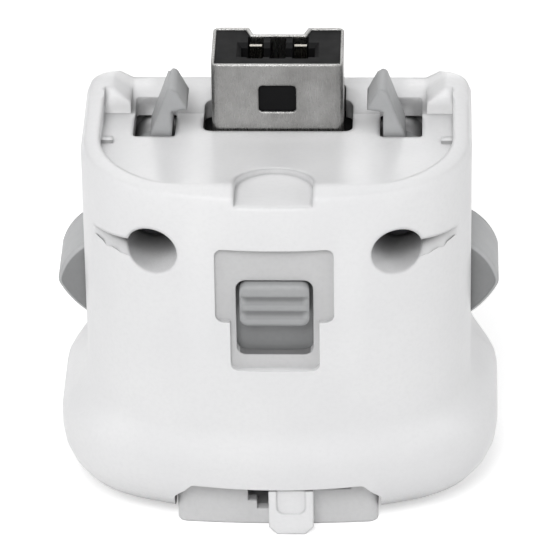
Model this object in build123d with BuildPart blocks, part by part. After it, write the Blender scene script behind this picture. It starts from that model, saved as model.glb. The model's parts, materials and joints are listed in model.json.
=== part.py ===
from build123d import *
import os
from math import asin, cos, degrees, pi, sin, sqrt

# Clip-on motion sensor module for the base of a hand-held motion controller.
# It stands on its base at z = 0, with the lock slider facing -Y and the plug pointing up.
# Lengths are in millimetres. Every y value is built from the front face of the upper body.

# Housing
body_width = 36.2
body_depth = 25.0
body_height = 36.3
base_flare = 2.65
base_swell = 0.6
nose_radius = 40.0
corner_radius = 10.5
base_corner_radius = 10.2
heel_radius = 3.0
bottom_round = 5.7
bottom_steps = 6
base_heel_margin = 0.9
base_side_height = 1.5
flare_height = 4.3
flare_steps = 6
rim_round = 1.1
rim_steps = 2
wall = 1.7
rear_shell_depth = 5.5

# Pocket that takes the end of the controller
rim_wall = 1.75
pocket_depth = 2.1
pocket_floor_wall = 1.6
pocket_radius = 69.0
pocket_corner_radius = 9.5
pocket_front_margin = 2.2
trough_drop = 0.6
heel_rim_drop = 1.2
ear_reach = 4.2
ear_slope = 1.7
ear_ramp = 2.2
ear_round = 0.4
locating_rib_width = 0.8
locating_rib_length = 1.1
locating_rib_height = 0.6
locating_rib_depth = 13.3
finger_width = 7.2
finger_reach = 7.1
finger_edge_drop = 1.05
finger_slope_drop = 0.5
finger_arch_flat = 0.05

# Lock window, its recess and the screw wells
window_width = 7.1
window_height = 8.0
window_drop = 17.15
window_round = 0.9
recess_depth = 0.75
recess_width = 10.9
recess_top_margin = 3.5
recess_step_rise = 3.75
recess_foot_width = 8.2
recess_foot_drop = 1.4
recess_round = 0.75
well_inset = 6.9
well_drop = 6.6
well_radius = 2.33
well_wall = 1.2
groove_reach = 5.7
groove_steps = 4
groove_depth = 3.3
groove_top_rise = 0.7
groove_mouth_height = 2.1
groove_end_height = 1.4

# Plug
plug_width = 12.3
plug_depth = 7.4
plug_rise = 6.95
plug_setback = 3.25
plug_corner = 0.7
plug_skin = 0.3
key_width = 5.6
key_foot_width = 4.7
key_depth = 1.3
plug_recess = 0.15
plug_window_width = 3.5
plug_window_height = 2.8
plug_window_drop = 2.2
plug_window_round = 0.4
plug_hole_side = 0.85
plug_hole_front = 0.25
plug_hole_rear_reach = 5.7
plug_hole_round = 0.8
plug_hole_slack = 0.15
plug_base_width = 14.8
plug_base_height = 3.4
plug_base_depth = 8.8
plug_base_rear_gap = 0.3
mouth_width = 6.9
mouth_depth = 2.1
mouth_setback = 2.2
mouth_length = 6.3
mouth_bevel = 0.4
cell_pitch = 2.1
cell_width = 1.5
rear_cell_depth = 1.5
front_cell_depth = 0.65
cell_drop = 0.35
contact_width = 1.15
contact_thickness = 0.2
rear_contact_setback = 0.7
contact_nose = 0.4

# Latches, which turn on the posts behind the screw wells
latch_thickness = 4.1
latch_lead = 4.3
post_radius = 1.6
post_root_radius = 2.6
post_clearance = 0.15
hub_radius = 2.9
arm_inner_x = 9.86
arm_root_width = 2.04
hook_rise = 4.95
hook_top_width = 0.7
hook_top_inset = 0.4
barb_reach = 1.5
barb_rise = 2.55
barb_lip = 0.25
slot_inner_gap = 0.31
slot_outer_gap = 1.6
slot_front_gap = 0.4
slot_rear_reach = 2.5
slot_round = 0.35
pad_reach = 2.7
pad_drop = 19.7
pad_height = 7.9
pad_apex_rise = 3.7
pad_thickness = 6.8
pad_lead = 7.5
pad_inner_depth = 3.5
pad_bite = 0.3
pad_arc_radius = 6.0
pad_sole_radius = 9.0
pad_tip_round = 1.4
pad_bevel = 0.35
pad_window_gap = 0.35
pad_window_drop = 1.3
latch_seat_gap = 0.2
arm_root_share = 0.3
lever_inner_share = 0.6
lever_root_share = 0.7
lever_foot_share = 0.62
lever_outer_share = 0.85
lever_shoulder = 1.2

# Latch springs
spring_strip = 0.3
spring_width = 2.8
spring_bend_radius = 1.35
spring_leg = 2.3
spring_rise = 1.3
spring_contact_gap = 0.05
spring_rib_thickness = 1.0
spring_rib_margin = 0.5

# Lock slider
knob_width = 6.4
knob_height = 4.3
knob_proud = 0.15
knob_gap = 0.15
knob_round = 0.8
knob_edge_bevel = 0.25
knob_groove_radius = 0.45
knob_groove_pitch = 1.5
knob_groove_lift = 0.2
lock_travel = 3.0
plate_width = 9.6
plate_thickness = 1.0
plate_margin = 0.5
slider_gap = 0.2
rail_thickness = 0.8
rail_lip = 0.9
yoke_arm_width = 1.2
yoke_arm_spacing = 5.2
yoke_thickness = 1.4
yoke_height = 2.6
yoke_rise = 1.05
yoke_width = 24.0
yoke_setback = 10.8
lug_length = 2.4
lug_width = 1.2

# Port cover in its channel
channel_width = 19.4
channel_height = 5.0
channel_shoulder = 1.8
channel_shoulder_width = 1.7
channel_round = 0.6
cover_gap = 0.25
cover_setback = 1.5
cover_front_radius = 100.0
cover_wall = 1.3
cover_end_round = 1.0
hinge_setback = 17.6
hinge_height = 1.9
hinge_pin_radius = 0.7
hinge_pin_gap = 0.1
hinge_pin_reach = 1.6
barrel_radius = 1.6
barrel_end_gap = 0.75
hinge_swing_room = 0.9
tab_width = 4.2
tab_shift = 1.3
tab_reach = 1.85
tab_chamfer = 0.8
tab_scoop_width = 2.7
tab_scoop_depth = 0.25
tab_scoop_height = 2.6
catch_slot_width = 2.0
catch_slot_height = 1.4
catch_step_width = 1.15
catch_step_height = 1.0
relief_width = 2.9
relief_height = 0.6
relief_shift = 5.45

# Accessory port above the cover
port_width = 12.7
port_depth = 7.7
port_height = 7.0
port_setback = 11.6
port_skin = 0.35
port_base_thickness = 1.2
port_floor_wall = 1.6
port_corner = 0.8
tongue_width = 6.6
tongue_thickness = 1.7
tongue_length = 4.8

# Circuit board, chips and housing screws
board_side_gap = 0.3
board_thickness = 1.2
board_top_gap = 0.3
gyro_side = 4.2
gyro_thickness = 1.0
gyro_spacing = 8.0
gyro_drop = 3.6
controller_chip_side = 5.0
controller_chip_thickness = 0.9
controller_chip_share = 0.4615
screw_head_radius = 1.95
screw_head_height = 1.4
screw_seat_depth = 9.5
screw_shank_radius = 0.85
screw_hole_gap = 0.1
screw_bite = 4.0
screw_tip_gap = 0.3
screw_drive_radius = 0.9
screw_drive_depth = 0.7

# One overrun lets every cut pass clean through a face
overrun = 1.0

# Places that several pieces share
base_width = body_width + 2 * base_flare
front_y = -body_depth / 2
rear_y = body_depth / 2
base_front_y = front_y - base_swell
base_rear_y = rear_y + base_swell
parting_y = rear_y - rear_shell_depth
flare_low = bottom_round + base_side_height
base_heel_radius = bottom_round + base_heel_margin
side_x = body_width / 2
well_height = body_height - well_drop
pad_low = body_height - pad_drop
window_low = body_height - window_drop
pocket_z = body_height - pocket_depth
heel_rim_z = body_height - heel_rim_drop
ceiling_z = pocket_z - pocket_floor_wall
cavity_floor_z = channel_height + port_floor_wall
well_x = side_x - well_inset
window_high = window_low + window_height
latch_front_y = parting_y - latch_lead
latch_rear_y = latch_front_y + latch_thickness
boss_end_y = latch_front_y - latch_seat_gap
plug_front_y = parting_y - plug_setback
plug_rear_y = plug_front_y + plug_depth
plug_top_z = pocket_z + plug_rise
hinge_y = front_y + hinge_setback
channel_end_y = hinge_y + barrel_radius + hinge_swing_room
port_y = front_y + port_setback
cover_front_y = front_y + cover_setback
cavity_rear_y = rear_y - wall
trough_z = pocket_z - trough_drop
screw_seat_y = front_y + screw_seat_depth
arm_outer_x = arm_inner_x + arm_root_width
pad_inner_x = side_x - pad_inner_depth
pad_front_y = parting_y - pad_lead
pad_high = pad_low + pad_height
plug_base_rear_y = cavity_rear_y - plug_base_rear_gap
plug_base_front_y = plug_base_rear_y - plug_base_depth
plug_base_low_z = ceiling_z - plug_base_height
board_front_y = plug_base_front_y - board_thickness
board_half = well_x - well_radius - well_wall - board_side_gap
board_low_z = cavity_floor_z + port_height
board_high_z = ceiling_z - board_top_gap
plate_half = plate_width / 2
inner_nose = nose_radius - wall
plate_front_y = front_y + wall + inner_nose - sqrt(inner_nose**2 - plate_half**2) + slider_gap
plate_rear_y = plate_front_y + plate_thickness
plate_low = window_low - plate_margin
plate_high = window_high + lock_travel + plate_margin
spring_pad_x = pad_inner_x - spring_contact_gap - spring_strip / 2
spring_rib_leg_x = spring_pad_x - 2 * spring_bend_radius
spring_rib_x = spring_rib_leg_x - spring_strip / 2 - spring_contact_gap
spring_bend_z = pad_low + spring_rise
cover_half = channel_width / 2 - cover_gap
cover_high = channel_height - cover_gap


def upright(y):
    """Plane at depth y seen from the front: x to the right, z up, positive extrusion towards -Y."""
    return Plane(origin=(0, y, 0), x_dir=(1, 0, 0), z_dir=(0, -1, 0))


def sideways(x):
    """Plane at x seen from the +X side: y to the right, z up, positive extrusion towards +X."""
    return Plane(origin=(x, 0, 0), x_dir=(0, 1, 0), z_dir=(1, 0, 0))


def block(x_span, y_span, z_span, mode=Mode.ADD):
    """Rectangular block between two x, two y and two z values."""
    spans = (x_span, y_span, z_span)
    middle = [(low + high) / 2 for low, high in spans]
    size = [abs(high - low) for low, high in spans]
    with Locations(tuple(middle)):
        Box(*size, mode=mode)


def plan_outline(width, front, rear, nose, corner, heel):
    """Plan face with a bowed front, round front corners, straight sides and a flat rear."""
    half = width / 2
    corner_x = half - corner
    bow = asin(corner_x / (nose - corner))
    corner_y = front + nose - (nose - corner) * cos(bow)
    bow = degrees(bow)
    heel_x = half - heel
    heel_y = rear - heel
    with BuildLine() as outline:
        CenterArc((0, front + nose), nose, 270 - bow, 2 * bow)
        CenterArc((corner_x, corner_y), corner, 270 + bow, 90 - bow)
        Line((half, corner_y), (half, heel_y))
        CenterArc((heel_x, heel_y), heel, 0, 90)
        Line((heel_x, rear), (-heel_x, rear))
        CenterArc((-heel_x, heel_y), heel, 90, 90)
        Line((-half, heel_y), (-half, corner_y))
        CenterArc((-corner_x, corner_y), corner, 180, 90 - bow)
    make_face(outline.edges())


def upper_outline(inset=0.0):
    """Plan of the upper body, or of a space a wall thickness inside it."""
    plan_outline(
        body_width - 2 * inset,
        front_y + inset,
        rear_y - inset,
        nose_radius - inset,
        corner_radius - inset,
        heel_radius - inset,
    )


def ring(height, share, inset):
    """Plan face at a height, part of the way from upper body (0) to base (1), drawn in by an inset."""
    with BuildSketch(Plane.XY.offset(height)) as level:
        plan_outline(
            body_width + share * (base_width - body_width) - 2 * inset,
            front_y - share * base_swell + inset,
            rear_y + share * base_swell - inset,
            nose_radius - inset,
            corner_radius + share * (base_corner_radius - corner_radius) - inset,
            heel_radius + share * (base_heel_radius - heel_radius) - inset,
        )
    return level.sketch.face()


def rounded_hole(x_span, y_span, z_span, corner):
    """Hole with an upright axis and round corners between two x, two y and two z values."""
    with BuildSketch(Plane.XY.offset(z_span[0])) as outline:
        with Locations((sum(x_span) / 2, sum(y_span) / 2)):
            RectangleRounded(abs(x_span[1] - x_span[0]), y_span[1] - y_span[0], corner)
    extrude(outline.sketch, amount=z_span[1] - z_span[0], mode=Mode.SUBTRACT)


def front_hole(x_span, z_span, y_span, corner):
    """Hole that runs straight back from the front, with round corners."""
    with BuildSketch(upright(y_span[1])) as outline:
        with Locations((sum(x_span) / 2, sum(z_span) / 2)):
            RectangleRounded(x_span[1] - x_span[0], z_span[1] - z_span[0], corner)
    extrude(outline.sketch, amount=y_span[1] - y_span[0], mode=Mode.SUBTRACT)


# Outer form of the housing before it is hollowed and parted, as rings from the floor to the rim:
# the round bottom edge, the flare between base and upper body, and the round top edge
rings = []
for step in range(bottom_steps + 1):
    turn = step / bottom_steps * pi / 2
    rings.append(ring(bottom_round * (1 - cos(turn)), 1.0, bottom_round * (1 - sin(turn))))
for step in range(flare_steps + 1):
    rise = step / flare_steps
    rings.append(ring(flare_low + rise * flare_height, (1 + cos(pi * rise)) / 2, 0.0))
for step in range(rim_steps + 1):
    turn = step / rim_steps * pi / 2
    rings.append(ring(body_height - rim_round * (1 - sin(turn)), 0.0, rim_round * (1 - cos(turn))))
with BuildPart() as form:
    loft(rings, ruled=True)

# Space of the pocket: a long concave floor that ends in a ramp at the parting line
pocket_half = side_x - rim_wall
pocket_front_y = front_y + pocket_front_margin
pocket_rear_y = rear_y - rim_wall
pocket_rise = pocket_radius - sqrt(pocket_radius**2 - (parting_y - pocket_front_y) ** 2)
pocket_open_z = body_height + overrun
with BuildPart() as pocket:
    with BuildSketch(sideways(-pocket_half)):
        with BuildLine():
            RadiusArc((pocket_front_y, pocket_z + pocket_rise), (parting_y, pocket_z), -pocket_radius)
            Polyline(
                (parting_y, pocket_z),
                (parting_y + ear_ramp, pocket_open_z),
                (pocket_front_y, pocket_open_z),
                (pocket_front_y, pocket_z + pocket_rise),
            )
        make_face()
    extrude(amount=2 * pocket_half)
    corners = pocket.edges().filter_by(Axis.Z).group_by(Axis.Y)
    fillet(corners[0], pocket_corner_radius)

# Space between the ears: a trough behind the parting line that rises to the lower rear rim
trough_x = side_x - ear_reach
with BuildPart() as trough:
    with BuildSketch(upright(base_rear_y + overrun)) as section:
        with BuildLine():
            Polyline(
                (-trough_x, trough_z),
                (-trough_x, heel_rim_z),
                (-trough_x - ear_slope, body_height),
                (-trough_x - ear_slope, pocket_open_z),
                (trough_x + ear_slope, pocket_open_z),
                (trough_x + ear_slope, body_height),
                (trough_x, heel_rim_z),
                (trough_x, trough_z),
                close=True,
            )
        make_face()
        fillet(section.vertices().group_by(Axis.Y)[0], ear_round)
    extrude(amount=base_rear_y + overrun - parting_y)
    with BuildSketch(sideways(-side_x)):
        with BuildLine():
            Polyline(
                (parting_y, trough_z),
                (pocket_rear_y, heel_rim_z),
                (base_rear_y + overrun, heel_rim_z),
                (base_rear_y + overrun, pocket_open_z),
                (parting_y, pocket_open_z),
                close=True,
            )
        make_face()
    extrude(amount=body_width, mode=Mode.INTERSECT)

# Space inside the housing, with the bosses of the screw wells left standing
with BuildPart() as cavity:
    with BuildSketch(Plane.XY.offset(cavity_floor_z)):
        upper_outline(wall)
    extrude(amount=ceiling_z - cavity_floor_z)
    with BuildSketch(upright(boss_end_y)):
        with Locations((-well_x, well_height), (well_x, well_height)):
            Circle(well_radius + well_wall)
    extrude(amount=boss_end_y - front_y, mode=Mode.SUBTRACT)


def front_face_y(x):
    """Depth of the upper body's front face at a distance from the middle."""
    corner_x = body_width / 2 - corner_radius
    bow = asin(corner_x / (nose_radius - corner_radius))
    if x <= nose_radius * sin(bow):
        return front_y + nose_radius - sqrt(nose_radius**2 - x**2)
    corner_y = front_y + nose_radius - (nose_radius - corner_radius) * cos(bow)
    return corner_y - sqrt(corner_radius**2 - (x - corner_x) ** 2)


# Groove that runs out of one screw well towards the side: a flat top, a slope under it, fading to nothing
groove_high = well_height + groove_top_rise
groove_sections = []
for step in range(groove_steps + 1):
    share = step / groove_steps
    section_x = well_x + share * groove_reach
    surface_y = front_face_y(section_x)
    groove_low = groove_high - groove_mouth_height - share * (groove_end_height - groove_mouth_height)
    with BuildSketch(sideways(section_x)) as section:
        with BuildLine():
            Polyline(
                (front_y - overrun, groove_low),
                (surface_y, groove_low),
                (surface_y + groove_depth * (1 - share), groove_high),
                (front_y - overrun, groove_high),
                close=True,
            )
        make_face()
    groove_sections.append(section.sketch.face())
with BuildPart() as right_groove:
    loft(groove_sections, ruled=True)

# Half-moon recess for a fingertip in the front lip
finger_edge_z = body_height - finger_edge_drop
with BuildPart() as finger_recess:
    with BuildSketch(sideways(-finger_width / 2)):
        with BuildLine():
            Polyline(
                (front_y - overrun, finger_edge_z),
                (front_y, finger_edge_z),
                (front_y + finger_reach, finger_edge_z - finger_slope_drop),
                (front_y + finger_reach, body_height + overrun),
                (front_y - overrun, body_height + overrun),
                close=True,
            )
        make_face()
    extrude(amount=finger_width)
    corners = finger_recess.edges().filter_by(Axis.Z).group_by(Axis.Y)
    fillet(corners[-1], finger_width / 2 - finger_arch_flat)

# Channel in the base that holds the port cover
channel_half = channel_width / 2
shoulder_x = channel_half - channel_shoulder_width
shoulder_z = channel_height - channel_shoulder


def channel_profile(inset, low):
    """Upright outline of the channel, or of the cover a gap inside it."""
    with BuildLine() as outline:
        Polyline(
            (-channel_half + inset, low),
            (-channel_half + inset, shoulder_z - inset / 2),
            (-shoulder_x + inset / 2, channel_height - inset),
            (shoulder_x - inset / 2, channel_height - inset),
            (channel_half - inset, shoulder_z - inset / 2),
            (channel_half - inset, low),
            close=True,
        )
    make_face(outline.edges())


with BuildPart() as channel:
    with BuildSketch(upright(channel_end_y)) as section:
        channel_profile(0.0, -overrun)
        fillet(section.vertices().group_by(Axis.Y)[1:], channel_round)
    extrude(amount=channel_end_y - base_front_y + overrun)

# Whole housing with every opening, before it is parted into its two shells
slot_inner_x = arm_inner_x - slot_inner_gap
slot_outer_x = arm_outer_x + slot_outer_gap
slot_front_y = latch_front_y - slot_front_gap
slot_rear_y = parting_y + slot_rear_reach
hole_front_y = plug_front_y - plug_hole_front
hole_shoulder_y = hole_front_y + plug_hole_rear_reach
hole_rear_y = plug_rear_y + plug_hole_slack
with BuildPart() as housing:
    add(form.part)
    add(pocket.part, mode=Mode.SUBTRACT)
    add(trough.part, mode=Mode.SUBTRACT)
    add(cavity.part, mode=Mode.SUBTRACT)
    add(channel.part, mode=Mode.SUBTRACT)
    add(finger_recess.part, mode=Mode.SUBTRACT)
    # holes in the pocket floor for the hooks and the plug
    floor_span = (ceiling_z - overrun, body_height + overrun)
    for side in (-1, 1):
        rounded_hole(
            (side * slot_inner_x, side * slot_outer_x),
            (slot_front_y, slot_rear_y),
            floor_span,
            slot_round,
        )
    plug_hole_x = plug_width / 2 + plug_hole_side
    rounded_hole((-plug_hole_x, plug_hole_x), (hole_front_y, hole_shoulder_y), floor_span, plug_hole_round)
    plug_seat_x = plug_width / 2 + plug_hole_slack
    rounded_hole((-plug_seat_x, plug_seat_x), (plug_front_y, hole_rear_y), floor_span, plug_hole_round)
    # recess in the front face and the window of the lock slider
    recess_y = front_y + recess_depth
    recess_step_z = window_low + recess_step_rise
    recess_span = (front_y - overrun, recess_y)
    recess_x = recess_width / 2
    recess_foot_x = recess_foot_width / 2
    recess_high = window_high + recess_top_margin
    recess_low = window_low - recess_foot_drop
    front_hole((-recess_x, recess_x), (recess_step_z, recess_high), recess_span, recess_round)
    front_hole((-recess_foot_x, recess_foot_x), (recess_low, window_high), recess_span, recess_round)
    window_x = window_width / 2
    window_span = (front_y - overrun, plate_front_y)
    front_hole((-window_x, window_x), (window_low, window_high), window_span, window_round)
    # screw wells with their grooves, and the holes for the screws
    with BuildSketch(upright(screw_seat_y)):
        with Locations((-well_x, well_height), (well_x, well_height)):
            Circle(well_radius)
    extrude(amount=screw_seat_depth + overrun, mode=Mode.SUBTRACT)
    with BuildSketch(upright(boss_end_y)):
        with Locations((-well_x, well_height), (well_x, well_height)):
            Circle(screw_shank_radius + screw_hole_gap)
    extrude(amount=boss_end_y - screw_seat_y, mode=Mode.SUBTRACT)
    add(right_groove.part, mode=Mode.SUBTRACT)
    mirror(right_groove.part, about=Plane.YZ, mode=Mode.SUBTRACT)
    # side windows of the latch pads
    pad_window_span = (pad_low - pad_window_drop, pad_high + pad_window_gap)
    for side in (-1, 1):
        block(
            (side * (side_x - wall - overrun), side * (base_width / 2)),
            (pad_front_y - pad_window_gap, parting_y),
            pad_window_span,
            mode=Mode.SUBTRACT,
        )
    # mouth of the accessory port and the bore of the hinge pin
    rounded_hole(
        (-port_width / 2, port_width / 2),
        (port_y - port_depth / 2, port_y + port_depth / 2),
        (channel_height - overrun, cavity_floor_z + overrun),
        port_corner,
    )
    pin_length = channel_width + 2 * hinge_pin_reach
    with BuildSketch(sideways(-pin_length / 2)):
        with Locations((hinge_y, hinge_height)):
            Circle(hinge_pin_radius + hinge_pin_gap)
    extrude(amount=pin_length, mode=Mode.SUBTRACT)

parting_plane = Plane(origin=(0, parting_y, 0), x_dir=(1, 0, 0), z_dir=(0, 1, 0))

# Front shell, with the rails that guide the lock slider and the small ribs that centre the controller
with BuildPart() as front_shell:
    add(housing.part)
    split(bisect_by=parting_plane, keep=Keep.BOTTOM)
    rail_x = plate_half + slider_gap
    rail_rear_y = plate_rear_y + slider_gap + rail_thickness
    for side in (-1, 1):
        block(
            (side * rail_x, side * (rail_x + rail_thickness)),
            (front_y + wall, rail_rear_y),
            (plate_low - lock_travel, plate_high),
        )
        block(
            (side * (rail_x - rail_lip), side * (rail_x + rail_thickness)),
            (rail_rear_y - rail_thickness, rail_rear_y),
            (plate_low - lock_travel, plate_high),
        )
        block(
            (side * (pocket_half - locating_rib_length), side * (pocket_half + rim_wall / 2)),
            (front_y + locating_rib_depth, front_y + locating_rib_depth + locating_rib_width),
            (pocket_z - pocket_floor_wall / 2, pocket_z + locating_rib_height),
        )
front_shell.part.label = "front_shell"

# Rear shell, with the posts that the latches turn on and the ribs behind their springs
with BuildPart() as rear_shell:
    add(housing.part)
    split(bisect_by=parting_plane, keep=Keep.TOP)
    post_steps = ((post_radius, boss_end_y), (post_root_radius, latch_rear_y + latch_seat_gap))
    for radius, post_front_y in post_steps:
        with BuildSketch(upright(cavity_rear_y)):
            with Locations((-well_x, well_height), (well_x, well_height)):
                Circle(radius)
        extrude(amount=cavity_rear_y - post_front_y)
    for side in (-1, 1):
        block(
            (side * (spring_rib_x - spring_rib_thickness), side * spring_rib_x),
            (latch_front_y + spring_rib_margin, cavity_rear_y),
            (spring_bend_z - spring_bend_radius, spring_bend_z + spring_leg),
        )
    with BuildSketch(upright(boss_end_y + screw_bite)):
        with Locations((-well_x, well_height), (well_x, well_height)):
            Circle(screw_shank_radius + screw_hole_gap)
    extrude(amount=screw_bite, mode=Mode.SUBTRACT)
rear_shell.part.label = "rear_shell"


def plug_outline(inset):
    """Plan of the plug, a round-cornered rectangle with a key groove in its rear side."""
    half = plug_width / 2 - inset
    key_x = key_width / 2 + inset
    key_foot_x = key_foot_width / 2 + inset
    front = plug_front_y + inset
    rear = plug_rear_y - inset
    with BuildLine() as outline:
        Polyline(
            (-half, front),
            (half, front),
            (half, rear),
            (key_x, rear),
            (key_foot_x, rear - key_depth),
            (-key_foot_x, rear - key_depth),
            (-key_x, rear),
            (-half, rear),
            close=True,
        )
    make_face(outline.edges())


# Metal shell of the plug
with BuildPart() as plug_shell:
    with BuildSketch(Plane.XY.offset(ceiling_z)):
        plug_outline(0.0)
    extrude(amount=plug_top_z - ceiling_z)
    upright_edges = plug_shell.edges().filter_by(Axis.Z)
    fillet(upright_edges.group_by(Axis.X)[0] + upright_edges.group_by(Axis.X)[-1], plug_corner)
    with BuildSketch(Plane.XY.offset(ceiling_z)):
        plug_outline(plug_skin)
    extrude(amount=plug_top_z - ceiling_z, mode=Mode.SUBTRACT)
    window_z = plug_top_z - plug_window_height / 2 - plug_window_drop
    front_hole(
        (-plug_window_width / 2, plug_window_width / 2),
        (window_z - plug_window_height / 2, window_z + plug_window_height / 2),
        (plug_front_y - overrun, plug_front_y + plug_skin),
        plug_window_round,
    )
plug_shell.part.label = "plug_shell"

# Insulator of the plug: a core inside the metal shell and a base block under the pocket floor
mouth_front_y = plug_front_y + mouth_setback
mouth_rear_y = mouth_front_y + mouth_depth
core_high = plug_top_z - plug_recess
mouth_low = core_high - mouth_length
with BuildPart() as plug_insulator:
    with BuildSketch(Plane.XY.offset(ceiling_z)):
        plug_outline(plug_skin)
    extrude(amount=core_high - ceiling_z)
    block(
        (-plug_base_width / 2, plug_base_width / 2),
        (plug_base_front_y, plug_base_rear_y),
        (plug_base_low_z, ceiling_z),
    )
    cell_heights = (mouth_low, core_high + overrun)
    block((-mouth_width / 2, mouth_width / 2), (mouth_front_y, mouth_rear_y), cell_heights, Mode.SUBTRACT)
    with BuildSketch(Plane.XY.offset(core_high)) as mouth_rim:
        with Locations((0, (mouth_front_y + mouth_rear_y) / 2)):
            Rectangle(mouth_width + 2 * mouth_bevel, mouth_depth + 2 * mouth_bevel)
    extrude(amount=-mouth_bevel, taper=45, mode=Mode.SUBTRACT)
    for place in (-1, 0, 1):
        cell_x = place * cell_pitch
        cell_span = (cell_x - cell_width / 2, cell_x + cell_width / 2)
        rear_cell = (mouth_rear_y - overrun, mouth_rear_y + rear_cell_depth)
        front_cell = (mouth_front_y - front_cell_depth, mouth_front_y + overrun)
        block(cell_span, rear_cell, cell_heights, Mode.SUBTRACT)
        block(cell_span, front_cell, cell_heights, Mode.SUBTRACT)
plug_insulator.part.label = "plug_insulator"


def contact_strip(x, back_y, toward, low, high):
    """Contact strip against a face at back_y, bent over at its tip; toward is 1 or -1 along y."""
    x_span = (x - contact_width / 2, x + contact_width / 2)
    with BuildPart() as strip:
        block(x_span, (back_y, back_y + toward * contact_thickness), (low, high))
        block(x_span, (back_y, back_y + toward * contact_nose), (high - contact_thickness, high))
    return strip.part


# Contacts of the plug: two rear strips and three front ones, in their cells
contact_high = core_high - cell_drop
plug_contacts = [
    contact_strip(place * cell_pitch, mouth_rear_y + rear_contact_setback, -1, mouth_low, contact_high)
    for place in (-1, 1)
] + [
    contact_strip(place * cell_pitch, mouth_front_y - front_cell_depth, 1, mouth_low, contact_high)
    for place in (-1, 0, 1)
]
for number, strip in enumerate(plug_contacts, start=1):
    strip.label = f"plug_contact_{number}"


# Right latch: a hook above its hub, and a thumb pad that stands out of the side window
hook_low = pocket_z + barb_rise
hook_high = pocket_z + hook_rise
pad_tip_x = side_x + pad_reach
pad_tip_z = pad_low + pad_apex_rise
with BuildPart() as right_latch:
    with BuildSketch(upright(latch_front_y)):
        with Locations((well_x, well_height)):
            Circle(hub_radius)
        with BuildLine():
            Polyline(
                (arm_inner_x, well_height),
                (arm_inner_x, hook_low),
                (arm_inner_x - barb_reach, hook_low + barb_lip),
                (arm_inner_x - hook_top_inset, hook_high),
                (arm_inner_x - hook_top_inset + hook_top_width, hook_high),
                (arm_outer_x, pocket_z),
                (well_x + hub_radius * arm_root_share, well_height),
                close=True,
            )
        make_face()
        with BuildLine():
            Polyline(
                (well_x - hub_radius * lever_inner_share, well_height - hub_radius * lever_root_share),
                (pad_inner_x, pad_low + pad_height * lever_foot_share),
                (pad_inner_x, pad_high),
                (pad_inner_x + lever_shoulder, pad_high),
                (well_x + hub_radius * lever_outer_share, well_height),
                close=True,
            )
        make_face()
    extrude(amount=-latch_thickness)
    with BuildSketch(upright(pad_front_y)):
        with BuildLine():
            Polyline(
                (side_x - pad_bite, pad_high),
                (pad_inner_x, pad_high),
                (pad_inner_x, pad_low),
                (side_x - pad_bite, pad_low),
            )
            RadiusArc((side_x - pad_bite, pad_low), (pad_tip_x, pad_tip_z), -pad_sole_radius)
            RadiusArc((pad_tip_x, pad_tip_z), (side_x - pad_bite, pad_high), -pad_arc_radius)
        make_face()
    extrude(amount=-pad_thickness)
    fillet(right_latch.edges().filter_by(Axis.Y).sort_by(Axis.X)[-1], pad_tip_round)
    with BuildSketch(upright(latch_front_y)):
        with Locations((well_x, well_height)):
            Circle(post_radius + post_clearance)
    extrude(amount=-latch_thickness, mode=Mode.SUBTRACT)
    pad_edges = right_latch.edges().filter_by_position(Axis.X, side_x, base_width)
    chamfer(pad_edges.filter_by_position(Axis.Y, pad_front_y, pad_front_y), pad_bevel)
right_latch.part.label = "right_latch"

with BuildPart() as left_latch:
    mirror(right_latch.part, about=Plane.YZ)
left_latch.part.label = "left_latch"

# Right latch spring: a strip bent into a U between the pad and the rib behind it
spring_centre_x = (spring_pad_x + spring_rib_leg_x) / 2
spring_high = spring_bend_z + spring_leg
with BuildPart() as right_spring:
    with BuildSketch(upright((latch_front_y + latch_rear_y - spring_width) / 2)):
        with BuildLine():
            Line((spring_rib_leg_x, spring_high), (spring_rib_leg_x, spring_bend_z))
            CenterArc((spring_centre_x, spring_bend_z), spring_bend_radius, 180, 180)
            Line((spring_pad_x, spring_bend_z), (spring_pad_x, spring_high))
        trace(line_width=spring_strip)
    extrude(amount=-spring_width)
right_spring.part.label = "right_latch_spring"

with BuildPart() as left_spring:
    mirror(right_spring.part, about=Plane.YZ)
left_spring.part.label = "left_latch_spring"

# Lock slider: a ribbed knob in the window, a plate behind it and a yoke that reaches between the latches
knob_high = window_high - knob_gap
knob_low = knob_high - knob_height
knob_front_y = front_y - knob_proud
yoke_front_y = front_y + yoke_setback
yoke_rear_y = yoke_front_y + yoke_thickness
yoke_span = (window_low + yoke_rise, window_low + yoke_rise + yoke_height)
with BuildPart() as lock_slider:
    with BuildSketch(upright(plate_front_y)):
        with Locations((0, (knob_low + knob_high) / 2)):
            RectangleRounded(knob_width, knob_height, knob_round)
    extrude(amount=plate_front_y - knob_front_y)
    chamfer(lock_slider.faces().sort_by(Axis.Y)[0].edges(), knob_edge_bevel)
    with BuildSketch(sideways(-knob_width / 2)):
        for row in (1, 2):
            with Locations((knob_front_y - knob_groove_lift, knob_high - row * knob_groove_pitch)):
                Circle(knob_groove_radius)
    extrude(amount=knob_width, mode=Mode.SUBTRACT)
    block((-plate_half, plate_half), (plate_front_y, plate_rear_y), (plate_low, plate_high))
    for side in (-1, 1):
        arm_x = side * yoke_arm_spacing / 2
        block(
            (arm_x - yoke_arm_width / 2, arm_x + yoke_arm_width / 2),
            (plate_rear_y, yoke_front_y),
            yoke_span,
        )
        block(
            (side * (yoke_width / 2 - lug_width), side * yoke_width / 2),
            (yoke_front_y, yoke_rear_y + lug_length),
            yoke_span,
        )
    block((-yoke_width / 2, yoke_width / 2), (yoke_front_y, yoke_rear_y), yoke_span)
lock_slider.part.label = "lock_slider"

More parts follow.
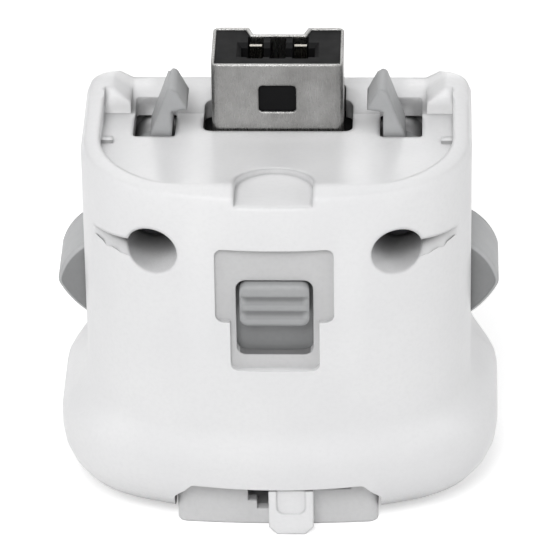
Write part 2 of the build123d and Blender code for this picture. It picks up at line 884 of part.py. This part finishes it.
# Port cover: a tray that fills the channel, with a barrel on the hinge pin and a pull tab in front
with BuildPart() as port_cover:
    with BuildSketch(Plane.XY):
        with BuildLine():
            cover_bow = cover_front_radius - sqrt(cover_front_radius**2 - cover_half**2)
            ThreePointArc(
                (-cover_half, cover_front_y + cover_bow),
                (0, cover_front_y),
                (cover_half, cover_front_y + cover_bow),
            )
            Polyline(
                (cover_half, cover_front_y + cover_bow),
                (cover_half, hinge_y),
                (-cover_half, hinge_y),
                (-cover_half, cover_front_y + cover_bow),
            )
        make_face()
    extrude(amount=cover_high)
    fillet(port_cover.edges().filter_by(Axis.Z).group_by(Axis.Y)[0], cover_end_round)
    barrel_half = cover_half - barrel_end_gap
    with BuildSketch(sideways(-barrel_half)):
        with Locations((hinge_y, hinge_height)):
            Circle(barrel_radius)
    extrude(amount=2 * barrel_half)
    with BuildSketch(upright(hinge_y + barrel_radius)) as section:
        channel_profile(cover_gap, 0.0)
        fillet(section.vertices().group_by(Axis.Y)[1:], channel_round)
    extrude(amount=hinge_y + barrel_radius - base_front_y, mode=Mode.INTERSECT)
    block(
        (-cover_half + cover_wall, cover_half - cover_wall),
        (cover_front_y + cover_bow + cover_wall / 2, hinge_y - barrel_radius - cover_wall / 2),
        (cover_wall, channel_height),
        Mode.SUBTRACT,
    )
    with BuildSketch(sideways(-cover_half)):
        with Locations((hinge_y, hinge_height)):
            Circle(hinge_pin_radius + hinge_pin_gap)
    extrude(amount=2 * cover_half, mode=Mode.SUBTRACT)
    tab_low_x = tab_shift - tab_width / 2
    tab_high_x = tab_shift + tab_width / 2
    with BuildSketch(upright(cover_front_y + cover_wall)):
        with BuildLine():
            Polyline(
                (tab_low_x, tab_chamfer),
                (tab_low_x, cover_high),
                (tab_high_x, cover_high),
                (tab_high_x, tab_chamfer),
                (tab_high_x - tab_chamfer, 0),
                (tab_low_x + tab_chamfer, 0),
                close=True,
            )
        make_face()
    extrude(amount=cover_wall + tab_reach)
    tab_front_y = cover_front_y - tab_reach
    front_hole(
        (tab_shift - tab_scoop_width / 2, tab_shift + tab_scoop_width / 2),
        (cover_high - tab_scoop_height, cover_high + tab_scoop_height),
        (tab_front_y - overrun, tab_front_y + tab_scoop_depth),
        tab_chamfer,
    )
    slot_span = (tab_front_y, cover_front_y + cover_wall)
    catch_low = cover_high - catch_slot_height
    block((tab_low_x - catch_slot_width, tab_low_x), slot_span, (catch_low, channel_height), Mode.SUBTRACT)
    block(
        (tab_low_x - catch_step_width, tab_low_x),
        slot_span,
        (catch_low - catch_step_height, catch_low),
        Mode.SUBTRACT,
    )
    block(
        (relief_shift - relief_width / 2, relief_shift + relief_width / 2),
        slot_span,
        (cover_high - relief_height, channel_height),
        Mode.SUBTRACT,
    )
port_cover.part.label = "port_cover"

with BuildPart() as cover_hinge_pin:
    with BuildSketch(sideways(-pin_length / 2)):
        with Locations((hinge_y, hinge_height)):
            Circle(hinge_pin_radius)
    extrude(amount=pin_length)
cover_hinge_pin.part.label = "cover_hinge_pin"

# Accessory port above the cover: metal shell, insulator with its tongue, and six contacts
port_high = cavity_floor_z + port_height
with BuildPart() as port_shell:
    with BuildSketch(Plane.XY.offset(cavity_floor_z)):
        with Locations((0, port_y)):
            RectangleRounded(port_width + 2 * port_skin, port_depth + 2 * port_skin, port_corner + port_skin)
            RectangleRounded(port_width, port_depth, port_corner, mode=Mode.SUBTRACT)
    extrude(amount=port_height)
port_shell.part.label = "port_shell"

tongue_low = port_high - port_base_thickness - tongue_length
with BuildPart() as port_insulator:
    with BuildSketch(Plane.XY.offset(port_high - port_base_thickness)):
        with Locations((0, port_y)):
            RectangleRounded(port_width, port_depth, port_corner)
    extrude(amount=port_base_thickness)
    block(
        (-tongue_width / 2, tongue_width / 2),
        (port_y - tongue_thickness / 2, port_y + tongue_thickness / 2),
        (tongue_low, port_high - port_base_thickness),
    )
port_insulator.part.label = "port_insulator"

port_contacts = []
for toward in (-1, 1):
    for place in (-1, 0, 1):
        face_y = port_y + toward * tongue_thickness / 2
        with BuildPart() as strip:
            block(
                (place * cell_pitch - contact_width / 2, place * cell_pitch + contact_width / 2),
                (face_y, face_y + toward * contact_thickness),
                (tongue_low + contact_nose, port_high - port_base_thickness),
            )
        strip.part.label = f"port_contact_{len(port_contacts) + 1}"
        port_contacts.append(strip.part)

# Circuit board between the plug's base and the port, with its chips
with BuildPart() as main_board:
    block((-board_half, board_half), (board_front_y, plug_base_front_y), (board_low_z, board_high_z))
main_board.part.label = "main_board"

gyro_z = board_high_z - gyro_drop
gyros = []
for side, name in ((-1, "gyro_chip_left"), (1, "gyro_chip_right")):
    with BuildPart() as gyro:
        with BuildSketch(upright(board_front_y)):
            with Locations((side * gyro_spacing / 2, gyro_z)):
                Rectangle(gyro_side, gyro_side)
        extrude(amount=gyro_thickness)
    gyro.part.label = name
    gyros.append(gyro.part)

with BuildPart() as controller_chip:
    with BuildSketch(upright(plug_base_front_y)):
        with Locations((0, board_low_z + controller_chip_share * (plug_base_low_z - board_low_z))):
            Rectangle(controller_chip_side, controller_chip_side)
    extrude(amount=-controller_chip_thickness)
controller_chip.part.label = "controller_chip"

# Screws that hold the shells together, at the bottom of the wells
screws = []
for side, name in ((-1, "housing_screw_left"), (1, "housing_screw_right")):
    with BuildPart() as screw:
        with BuildSketch(upright(screw_seat_y)):
            with Locations((side * well_x, well_height)):
                Circle(screw_head_radius)
        extrude(amount=screw_head_height)
        with BuildSketch(upright(screw_seat_y - screw_head_height)):
            with Locations((side * well_x, well_height)):
                RegularPolygon(screw_drive_radius, 3)
        extrude(amount=-screw_drive_depth, mode=Mode.SUBTRACT)
        with BuildSketch(upright(screw_seat_y)):
            with Locations((side * well_x, well_height)):
                Circle(screw_shank_radius)
        extrude(amount=-(boss_end_y - screw_seat_y + screw_bite - screw_tip_gap))
    screw.part.label = name
    screws.append(screw.part)

pieces = [
    front_shell.part,
    rear_shell.part,
    plug_shell.part,
    plug_insulator.part,
    *plug_contacts,
    right_latch.part,
    left_latch.part,
    right_spring.part,
    left_spring.part,
    lock_slider.part,
    port_cover.part,
    cover_hinge_pin.part,
    port_shell.part,
    port_insulator.part,
    *port_contacts,
    main_board.part,
    *gyros,
    controller_chip.part,
    *screws,
]
os.makedirs("parts", exist_ok=True)
for piece in pieces:
    export_step(piece, f"parts/{piece.label}.step")
    print(piece.label, len(piece.solids()), piece.is_valid, round(piece.volume, 2))
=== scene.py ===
import json
from math import cos, radians, sin, sqrt

import bmesh
import bpy
from mathutils import Matrix, Vector


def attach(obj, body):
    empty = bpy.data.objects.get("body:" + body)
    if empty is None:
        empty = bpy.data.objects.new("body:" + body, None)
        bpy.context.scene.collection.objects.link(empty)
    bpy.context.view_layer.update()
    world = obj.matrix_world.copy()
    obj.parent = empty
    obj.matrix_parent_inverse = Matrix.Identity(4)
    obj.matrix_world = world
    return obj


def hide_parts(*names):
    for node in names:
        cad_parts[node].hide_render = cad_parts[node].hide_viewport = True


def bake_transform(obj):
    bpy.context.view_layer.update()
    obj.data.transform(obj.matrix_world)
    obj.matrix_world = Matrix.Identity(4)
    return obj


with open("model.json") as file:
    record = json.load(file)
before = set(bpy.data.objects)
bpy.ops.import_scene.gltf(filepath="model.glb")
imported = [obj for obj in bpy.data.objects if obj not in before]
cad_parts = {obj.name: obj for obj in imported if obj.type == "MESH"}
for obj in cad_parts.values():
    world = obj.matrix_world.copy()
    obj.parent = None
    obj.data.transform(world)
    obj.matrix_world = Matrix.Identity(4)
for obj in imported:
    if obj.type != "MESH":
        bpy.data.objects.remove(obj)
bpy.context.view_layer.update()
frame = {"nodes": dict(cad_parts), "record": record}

nodes = frame["nodes"]
slots = {entry["node"]: entry["material_slot"] for entry in frame["record"]["subparts"]}
bodies = {member: body
          for body, members in frame["record"]["behaviour"]["bodies"].items()
          for member in members}
MM = 0.001

# Camera
AZIMUTH, ELEVATION, ROLL = radians(1.92), radians(31.0), radians(-0.82)
DISTANCE = 0.475
TARGET = Vector((0, 0.0015, 0.018))
FOCAL_LENGTH = 322.5
SHIFT = (0.0014, 0.0207)

# Materials: what the patterns and the painted shade in recesses have in common
ROUND_SAMPLES = 6
PAINTED_SHADE_SAMPLES = 6
PAINTED_SHADE_SPAN = (0.12, 0.64)
GRAIN_DEPTH = 0.00002
WAVE_DEPTH = 0.0003

# Boxes of the part in millimetres, the same on both sides of x = 0, each as
# (half width, y span, z span, width of the soft edge, smallest x). Some mark painted shade or painted light
# in a colour, the others a rounder edge.
# Painted shade on the floor of the T recess
RECESS_FACE_SHADE = (5.6, (-11.81, -11.69), (17.6, 30.8))
# Painted shadow on a narrow strip at the window's lower edge
WINDOW_SILL_SHADOW = (3.7, (-11.62, -10.3), (18.9, 19.4), 0.02)
# Painted shade on the forward ramps of the ears
EAR_RAMP_SHADE = (17.2, (6.9, 8.9), (33.5, 35.2), 0.4, 12.0)
# Painted light on the tops of the ears
EAR_TOP_LIGHT = (17.2, (10.6, 13.3), (34.5, 40), 0.5, 12.0)
# Painted light on the rear walls of the hook slots
HOOK_SLOT_WALL_LIGHT = (12.4, (8.9, 10.2), (31.0, 33.5), 0.4, 6.8)
UPPER_RIM = (30, (-30, 6.3), (33.3, 40), 0.4)
FINGER_RECESS = (17.5, (-30, 0), (26.0, 33.3), 0.4, 7.0)
EARS = (30, (7.7, 30), (33.0, 40), 0.4, 12.5)
REAR_RIM = (12.5, (7.7, 30), (33.0, 40), 0.4)
# Painted shade on the cover's front under the body
COVER_FRONT_SHADE = (9.8, (-11.2, -8.0), (-1, 5.2))
# Painted light on the latch pads, all but their front faces
PAD_SIDES_LIGHT = (30, (-0.4, 30), (10, 30), 0.1, 17.9)
# Painted shade on the front faces of the latch pads
PAD_FRONT_SHADE = (30, (-0.6, -0.44), (10, 30), 0.05, 17.9)
PAD_EDGES = (30, (-30, 30), (10, 33), 0.2, 17.9)
HOOKS = (30, (-30, 30), (34.0, 42))
# Painted shade on the slider's recessed plate
SLIDER_PLATE_SHADE = (5, (-10.6, -9), (10, 40))
# Painted shade in the two grooves of the slider knob
UPPER_GROOVE_SHADE = (2.75, (-14, -11.9), (25.15, 25.75), 0.25)
LOWER_GROOVE_SHADE = (2.75, (-14, -11.9), (23.65, 24.25), 0.25)

# Smooth copies of the moulded nodes
WELD = 0.000002
SMOOTH_ANGLE = radians(28.0)
EDGE_ANGLE = radians(33.0)
EDGE_SEGMENTS = 3
# edges of the cover as (x span, z, lift) in millimetres: catch slot, its step, relief beside the tab
COVER_SHIFT = [((-2.9, -0.7), 3.35, -0.8), ((-2.9, -0.7), 2.35, -0.7), ((3.9, 7.0), 4.15, -0.35)]

# Floor and light
FLOOR_RADIUS = 1.6
FLOOR_DROP = 0.00005
FLOOR_GLOW = 0.48
SOFT_LIGHT = 0.26
LAMP_AIM = Vector((0, 0, 0.02))


def link(thing):
    bpy.context.scene.collection.objects.link(thing)
    return thing


def place_camera():
    back = Vector((sin(AZIMUTH) * cos(ELEVATION), -cos(AZIMUTH) * cos(ELEVATION), sin(ELEVATION)))
    camera = link(bpy.data.objects.new("camera", bpy.data.cameras.new("camera")))
    turn = (-back).to_track_quat("-Z", "Y").to_matrix().to_4x4()
    camera.matrix_world = Matrix.Translation(TARGET + back * DISTANCE) @ turn @ Matrix.Rotation(ROLL, 4, "Z")
    camera.data.sensor_width = 36
    camera.data.lens = FOCAL_LENGTH
    camera.data.shift_x, camera.data.shift_y = SHIFT
    camera.data.clip_start = 0.01
    camera.data.clip_end = 10
    bpy.context.scene.camera = camera


def new_material(name):
    material = bpy.data.materials.new(name)
    material.use_nodes = True
    return material, material.node_tree, material.node_tree.nodes["Principled BSDF"]


def add(tree, kind, **inputs):
    node = tree.nodes.new(kind)
    for key, value in inputs.items():
        if key in node.inputs:
            node.inputs[key].default_value = value
        else:
            setattr(node, key, value)
    return node


def coordinates(tree, stretch=(1, 1, 1)):
    """Object coordinates in millimetres, stretched along an axis where the grain runs."""
    where = add(tree, "ShaderNodeTexCoord")
    scale = add(tree, "ShaderNodeMapping")
    scale.inputs["Scale"].default_value = [s / MM for s in stretch]
    tree.links.new(where.outputs["Object"], scale.inputs["Vector"])
    return scale.outputs["Vector"]


def noise(tree, vector, scale, detail=3.0, rough=0.55):
    node = add(tree, "ShaderNodeTexNoise", Scale=scale, Detail=detail, Roughness=rough)
    tree.links.new(vector, node.inputs["Vector"])
    return node.outputs["Fac"]


def spread(tree, value, low, high, out_low, out_high):
    node = tree.nodes.new("ShaderNodeMapRange")
    for key, number in (("From Min", low), ("From Max", high), ("To Min", out_low), ("To Max", out_high)):
        node.inputs[key].default_value = number
    tree.links.new(value, node.inputs["Value"])
    return node.outputs["Result"]


def blend_colour(tree, fac, first, second):
    node = tree.nodes.new("ShaderNodeMix")
    node.data_type = "RGBA"
    tree.links.new(fac, node.inputs["Factor"])
    for socket, value in ((node.inputs[6], first), (node.inputs[7], second)):
        if isinstance(value, tuple):
            socket.default_value = (*value, 1)
        else:
            tree.links.new(value, socket)
    return node.outputs[2]


def bump(tree, height, strength, distance, below=None):
    node = add(tree, "ShaderNodeBump", Strength=strength, Distance=distance)
    tree.links.new(height, node.inputs["Height"])
    if below is not None:
        tree.links.new(below, node.inputs["Normal"])
    return node.outputs["Normal"]


def math_node(tree, operation, first, second):
    node = add(tree, "ShaderNodeMath", operation=operation)
    for socket, value in zip(node.inputs, (first, second)):
        if isinstance(value, (int, float)):
            socket.default_value = value
        else:
            tree.links.new(value, socket)
    return node.outputs[0]


def patch(tree, half_width, depth, height, fade=0.05, from_x=-9.0):
    """1 inside a box of the part, 0 outside it."""
    where = add(tree, "ShaderNodeSeparateXYZ")
    tree.links.new(coordinates(tree), where.inputs[0])
    across = math_node(tree, "ABSOLUTE", where.outputs["X"], 0.0)
    inside = None
    for value, (low, high) in ((across, (from_x, half_width)), (where.outputs["Y"], depth),
                               (where.outputs["Z"], height)):
        for edge, toward in ((low, 1), (high, -1)):
            ramp = spread(tree, value, edge - toward * fade, edge + toward * fade, 0.0, 1.0)
            inside = ramp if inside is None else math_node(tree, "MULTIPLY", inside, ramp)
    return inside


def tinted(colour, share):
    return tuple(share * c for c in colour)


def plastic(name, colour, shade, rough, grain, grain_size=0.18, painted_recess_shade=0.75, reach=2.0, level=0.5,
            painted_light_and_shade=(), round_edge=0.0, rounder=(), shaded=False):
    """Moulded plastic: slow colour drift, uneven gloss, a fine moulded grain and a soft waviness.

    grime is how much of the colour is left deep in a recess, as painted shade found by ambient occlusion
    within a reach in millimetres. patches are boxes where the colour is scaled by a share, as (share of the
    colour, box): painted shade below 1 and painted light above 1. round_edge is the radius in millimetres
    that edges seem to have, and rounder lists boxes with another radius. shaded paints shade into the finger
    grooves by a value stored in the mesh."""
    material, tree, shader = new_material(name)
    here = coordinates(tree)
    drift = spread(tree, noise(tree, here, 0.09, 2.0), 0.35, 0.65, 0.0, 1.0)
    speck = spread(tree, noise(tree, here, 2.4, 4.0), 0.42, 0.72, 0.0, 1.0)
    colour_out = blend_colour(tree, drift, colour, shade)
    colour_out = blend_colour(tree, spread(tree, speck, 0.0, 1.0, 0.0, 0.35), colour_out, tinted(shade, 0.94))
    # Painted shade: deep in a recess, found by ambient occlusion, the colour turns towards a share of the
    # shade colour
    painted_hollow_shade = add(tree, "ShaderNodeAmbientOcclusion", samples=PAINTED_SHADE_SAMPLES)
    painted_hollow_shade.inputs["Distance"].default_value = reach * MM
    depth = spread(tree, painted_hollow_shade.outputs["AO"], *PAINTED_SHADE_SPAN, 0.0, 1.0)
    colour_out = blend_colour(tree, depth, tinted(shade, painted_recess_shade), colour_out)
    # Painted shade or painted light: inside each box the colour is scaled by its share
    for share, box in painted_light_and_shade:
        tint = tinted(colour, share)
        colour_out = blend_colour(tree, patch(tree, *box), colour_out,
                                  blend_colour(tree, speck, tint, tinted(tint, 0.96)))
    # Painted shade in the finger grooves: the colour turns towards black by the value stored in the mesh
    if shaded:
        fade = add(tree, "ShaderNodeAttribute", attribute_name="painted_hollow_shade")
        colour_out = blend_colour(tree, fade.outputs["Fac"], colour_out, (0.0, 0.0, 0.0))
    tree.links.new(colour_out, shader.inputs["Base Color"])
    shader.inputs["IOR"].default_value = 1.5
    shader.inputs["Specular IOR Level"].default_value = level
    tree.links.new(spread(tree, noise(tree, here, 0.5), 0.3, 0.7, *rough), shader.inputs["Roughness"])
    edges = None
    if round_edge:
        rim = add(tree, "ShaderNodeBevel", samples=ROUND_SAMPLES)
        radius = math_node(tree, "ADD", spread(tree, drift, 0.0, 1.0, 0.0, 0.00001), round_edge * MM)
        for wide, box in rounder:
            there = math_node(tree, "MULTIPLY", patch(tree, *box), wide * MM)
            radius = math_node(tree, "MAXIMUM", radius, there)
        tree.links.new(radius, rim.inputs["Radius"])
        edges = rim.outputs["Normal"]
    fine = bump(tree, noise(tree, here, 1 / grain_size, 2.0), grain, GRAIN_DEPTH, edges)
    tree.links.new(bump(tree, noise(tree, here, 0.12, 1.0), 0.12, WAVE_DEPTH, fine), shader.inputs["Normal"])
    return material


def metal(name, colour, shade, rough, stretch, round_edge=0.0):
    """Stamped and plated sheet: drawn lines along one axis, soft tarnish and fine scratches."""
    material, tree, shader = new_material(name)
    lines = noise(tree, coordinates(tree, stretch), 6.0, 5.0, 0.7)
    tarnish = spread(tree, noise(tree, coordinates(tree), 0.35, 4.0), 0.35, 0.7, 0.0, 1.0)
    tree.links.new(blend_colour(tree, tarnish, colour, shade), shader.inputs["Base Color"])
    tree.links.new(spread(tree, lines, 0.3, 0.7, *rough), shader.inputs["Roughness"])
    edges = None
    if round_edge:
        rim = add(tree, "ShaderNodeBevel", samples=ROUND_SAMPLES, Radius=round_edge * MM)
        edges = rim.outputs["Normal"]
    tree.links.new(bump(tree, lines, 0.35, GRAIN_DEPTH, edges), shader.inputs["Normal"])
    shader.inputs["Metallic"].default_value = 1.0
    return material


def dress(node, material):
    mesh = nodes[node].data
    mesh.materials.clear()
    mesh.materials.append(material)


def surface_y(x):
    """Depth of the upper body's front and corner surface at x, in millimetres."""
    x = abs(x)
    return 27.5 - sqrt(1600 - x * x) if x < 10.3 else -1.004 - sqrt(max(0.0, 110.25 - (x - 7.6) ** 2))


def shade_grooves(work):
    """Stores a painted shade for the finger grooves beside the wells, stronger deeper in and nearer the
    wells, and lets their outer ends droop.
    """
    painted_hollow_shade = work.loops.layers.float.new("painted_hollow_shade")
    moved = set()
    for face in work.faces:
        middle = face.calc_center_median() / MM
        if not (12.3 < abs(middle.x) < 18 and 27.5 < middle.z < 30.45 and middle.y < -1):
            continue
        slope = face.normal.z > 0.03 and face.normal.y < -0.1
        if slope or face.normal.z < -0.9:
            moved.update(face.verts)
        if slope:
            for loop in face.loops:
                x, y = abs(loop.vert.co.x) / MM, loop.vert.co.y / MM
                ending = min(1.0, max(0.0, (17.0 - x) / 2.5))
                loop[painted_hollow_shade] = min(0.9, 0.18 * ending + 0.30 * max(0.0, y - surface_y(x)))
    for vertex in moved:
        outward = min(1.0, max(0.0, (abs(vertex.co.x) / MM - 13.3) / 3.7))
        vertex.co.z -= outward * (0.75 if vertex.co.z > 30.2 * MM else 0.5) * MM


def round_hook_top(work):
    """Rounds the two long edges of the narrow flat on top of a hook."""
    top = max(vertex.co.z for vertex in work.verts)
    ridge = [line for line in work.edges
             if all(vertex.co.z > top - 0.02 * MM for vertex in line.verts)
             and abs(line.verts[0].co.y - line.verts[1].co.y) > 1.0 * MM
             and abs(line.verts[0].co.x - line.verts[1].co.x) < 0.2 * MM]
    bmesh.ops.bevel(work, geom=ridge, offset=0.33 * MM, segments=4, profile=0.5, affect="EDGES",
                    clamp_overlap=True)


def shift_cover_edges(work):
    """Moves a few edges of the cover a little up or down."""
    for span, level, lift in COVER_SHIFT:
        for vertex in work.verts:
            if abs(vertex.co.z - level * MM) < 0.03 * MM and span[0] * MM < vertex.co.x < span[1] * MM:
                vertex.co.z += lift * MM


def moulded(node, material, edge, change=None):
    """A copy of a CAD node with its facets welded, its true edges rounded and the rest shaded smooth.

    edge is the edge radius in millimetres, and change is a last change to the welded copy."""
    mesh = bpy.data.meshes.new(node + "_moulded")
    work = bmesh.new()
    work.from_mesh(nodes[node].data)
    bmesh.ops.remove_doubles(work, verts=work.verts, dist=WELD)
    bmesh.ops.dissolve_degenerate(work, dist=WELD, edges=work.edges)
    if change:
        change(work)
    for face in work.faces:
        face.smooth = True
    weights = work.edges.layers.float.new("bevel_weight_edge")
    for line in work.edges:
        angle = line.calc_face_angle(0.0) if line.is_manifold else 0.0
        line.smooth = angle < SMOOTH_ANGLE
        if angle >= EDGE_ANGLE:
            line[weights] = 1.0
    work.to_mesh(mesh)
    work.free()
    if "custom_normal" in mesh.attributes:
        mesh.attributes.remove(mesh.attributes["custom_normal"])
    mesh.materials.clear()
    mesh.materials.append(material)
    piece = link(bpy.data.objects.new(node + "_moulded", mesh))
    bevel = piece.modifiers.new("edges", "BEVEL")
    bevel.width = edge * MM
    bevel.segments = EDGE_SEGMENTS
    bevel.limit_method = "WEIGHT"
    bevel.use_clamp_overlap = True
    bevel.harden_normals = True
    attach(piece, bodies[node])
    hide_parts(node)


def bent_spring(node):
    """A copy of a latch spring, in the same place, standing in for the node, which it hides."""
    mesh = nodes[node].data.copy()
    mesh.name = node + "_bent"
    piece = link(bpy.data.objects.new(node + "_bent", mesh))
    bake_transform(piece)
    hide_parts(node)


def white_to_camera(tree, surface, out):
    """Plain white for the camera, mirrors and glass, and the given surface for everything else."""
    path = add(tree, "ShaderNodeLightPath")
    direct = math_node(tree, "MAXIMUM", path.outputs["Is Camera Ray"], path.outputs["Is Glossy Ray"])
    seen = math_node(tree, "MAXIMUM", direct, path.outputs["Is Transmission Ray"])
    mixer = add(tree, "ShaderNodeMixShader")
    white = add(tree, "ShaderNodeBackground", Color=(1, 1, 1, 1), Strength=1.0)
    tree.links.new(seen, mixer.inputs[0])
    tree.links.new(surface, mixer.inputs[1])
    tree.links.new(white.outputs[0], mixer.inputs[2])
    tree.links.new(mixer.outputs[0], out)


def light_room():
    world = bpy.data.worlds.new("studio")
    bpy.context.scene.world = world
    world.use_nodes = True
    tree = world.node_tree
    soft = tree.nodes["Background"]
    soft.inputs["Color"].default_value = (1, 1, 1, 1)
    soft.inputs["Strength"].default_value = SOFT_LIGHT
    white_to_camera(tree, soft.outputs[0], tree.nodes["World Output"].inputs["Surface"])


def lamp(name, place, size, power):
    data = bpy.data.lights.new(name, "AREA")
    data.shape = "DISK"
    data.size = size
    data.energy = power
    light = link(bpy.data.objects.new(name, data))
    light.location = place
    light.rotation_mode = "QUATERNION"
    light.rotation_quaternion = (LAMP_AIM - Vector(place)).to_track_quat("-Z", "Y")


def lay_floor():
    """A round pale floor that glows a little for the camera and for mirrors, so that it looks like paper."""
    ground = bmesh.new()
    bmesh.ops.create_circle(ground, cap_ends=True, radius=FLOOR_RADIUS, segments=96)
    mesh = bpy.data.meshes.new("floor")
    ground.to_mesh(mesh)
    ground.free()
    floor = link(bpy.data.objects.new("floor", mesh))
    floor.location = (0, 0, -FLOOR_DROP)
    material, tree, shader = new_material("pale_floor")
    here = coordinates(tree, (0.02, 0.02, 0.02))
    tree.links.new(blend_colour(tree, noise(tree, here, 1.0), (0.80, 0.80, 0.80), (0.82, 0.82, 0.82)),
                   shader.inputs["Base Color"])
    shader.inputs["Roughness"].default_value = 0.9
    shader.inputs["Specular IOR Level"].default_value = 0.1
    path = add(tree, "ShaderNodeLightPath")
    seen = math_node(tree, "MAXIMUM", path.outputs["Is Camera Ray"], path.outputs["Is Glossy Ray"])
    shader.inputs["Emission Color"].default_value = (1, 1, 1, 1)
    tree.links.new(math_node(tree, "MULTIPLY", seen, FLOOR_GLOW), shader.inputs["Emission Strength"])
    mesh.materials.append(material)


place_camera()

# White housing: painted shade in recesses and in the finger grooves, painted shade on the T recess, the
# window sill and the ear ramps, and painted light on the hook slot walls and the ear tops
white = plastic("white_housing_plastic", (0.80, 0.80, 0.805), (0.775, 0.775, 0.783), (0.30, 0.40), 0.10,
                painted_recess_shade=0.30, reach=4.5, round_edge=0.12, shaded=True,
                painted_light_and_shade=[(0.72, RECESS_FACE_SHADE), (0.26, WINDOW_SILL_SHADOW), (0.72, EAR_RAMP_SHADE), (1.1, HOOK_SLOT_WALL_LIGHT),
                         (1.12, EAR_TOP_LIGHT)],
                rounder=[(0.75, UPPER_RIM), (0.5, FINGER_RECESS), (1.0, EARS), (0.4, REAR_RIM)])
# Cover: painted shade in recesses and on its front under the body
cover_white = plastic("cover_plastic", (0.80, 0.80, 0.805), (0.765, 0.765, 0.773), (0.34, 0.44), 0.14,
                      painted_recess_shade=0.6, painted_light_and_shade=[(0.76, COVER_FRONT_SHADE)], round_edge=0.3)
# Latches: painted shade in recesses, painted light on the pads' sides and painted shade on their front faces
latch_grey = plastic("latch_plastic", (0.42, 0.425, 0.43), (0.39, 0.395, 0.40), (0.42, 0.55), 0.25,
                     round_edge=0.35, painted_light_and_shade=[(1.08, PAD_SIDES_LIGHT), (0.54, PAD_FRONT_SHADE)],
                     rounder=[(0.9, PAD_EDGES), (0.55, HOOKS)])
# Slider: painted shade in recesses, on the plate and in the knob's grooves
slider_grey = plastic("slider_plastic", (0.38, 0.385, 0.39), (0.35, 0.355, 0.36), (0.45, 0.6), 0.3,
                      round_edge=0.5, painted_recess_shade=0.6, reach=2.5,
                      painted_light_and_shade=[(0.78, SLIDER_PLATE_SHADE), (0.55, UPPER_GROOVE_SHADE), (0.55, LOWER_GROOVE_SHADE)])
black = plastic("insulator_plastic", (0.006, 0.006, 0.0065), (0.008, 0.008, 0.0085), (0.5, 0.65), 0.3,
                level=0.08)
chip_black = plastic("chip_resin", (0.02, 0.02, 0.022), (0.03, 0.03, 0.032), (0.5, 0.7), 0.4, 0.1)
board_green = plastic("board_resist", (0.01, 0.09, 0.035), (0.014, 0.12, 0.05), (0.25, 0.4), 0.2)
shell_metal = metal("plated_sheet", (0.36, 0.357, 0.35), (0.27, 0.267, 0.26), (0.2, 0.36), (1, 1, 0.15), 0.3)
port_metal = metal("port_sheet", (0.6, 0.6, 0.59), (0.5, 0.5, 0.49), (0.25, 0.42), (1, 1, 12))
pin_steel = metal("turned_steel", (0.5, 0.5, 0.5), (0.38, 0.38, 0.385), (0.2, 0.4), (1, 8, 8))
screw_steel = metal("blackened_steel", (0.10, 0.10, 0.105), (0.06, 0.06, 0.065), (0.3, 0.5), (8, 1, 8))
gold = metal("contact_plating", (0.46, 0.44, 0.40), (0.36, 0.34, 0.30), (0.15, 0.32), (8, 8, 1))

LOOKS = {
    "white_housing": white,
    "light_grey_latch": latch_grey,
    "grey_slider": slider_grey,
    "plated_steel": shell_metal,
    "spring_steel": pin_steel,
    "contact_metal": gold,
    "black_insulator": black,
    "circuit_board": board_green,
    "chip_package": chip_black,
}
for node, slot_name in slots.items():
    dress(node, LOOKS[slot_name])
dress("port_shell", port_metal)
dress("housing_screw_left", screw_steel)
dress("housing_screw_right", screw_steel)
dress("port_cover", cover_white)

moulded("front_shell", white, 0.12, shade_grooves)
moulded("rear_shell", white, 0.12)
moulded("right_latch", latch_grey, 0.15, round_hook_top)
moulded("left_latch", latch_grey, 0.15, round_hook_top)
moulded("lock_slider", slider_grey, 0.1)
moulded("port_cover", cover_white, 0.15, shift_cover_edges)
moulded("plug_shell", shell_metal, 0.05)
bent_spring("right_latch_spring")
bent_spring("left_latch_spring")

light_room()
lamp("key_softbox", (-0.10, -0.58, 0.64), 0.42, 3.7)
lamp("right_softbox", (0.62, -0.25, 0.42), 0.5, 1.5)
lamp("left_softbox", (-0.62, -0.25, 0.42), 0.5, 1.4)
lamp("rear_softbox", (-0.1, 0.55, 0.60), 0.5, 0.9)
lamp("low_rear_softbox", (0.05, 0.70, 0.04), 0.4, 0.5)
lay_floor()

bpy.context.scene.view_settings.view_transform = "Standard"
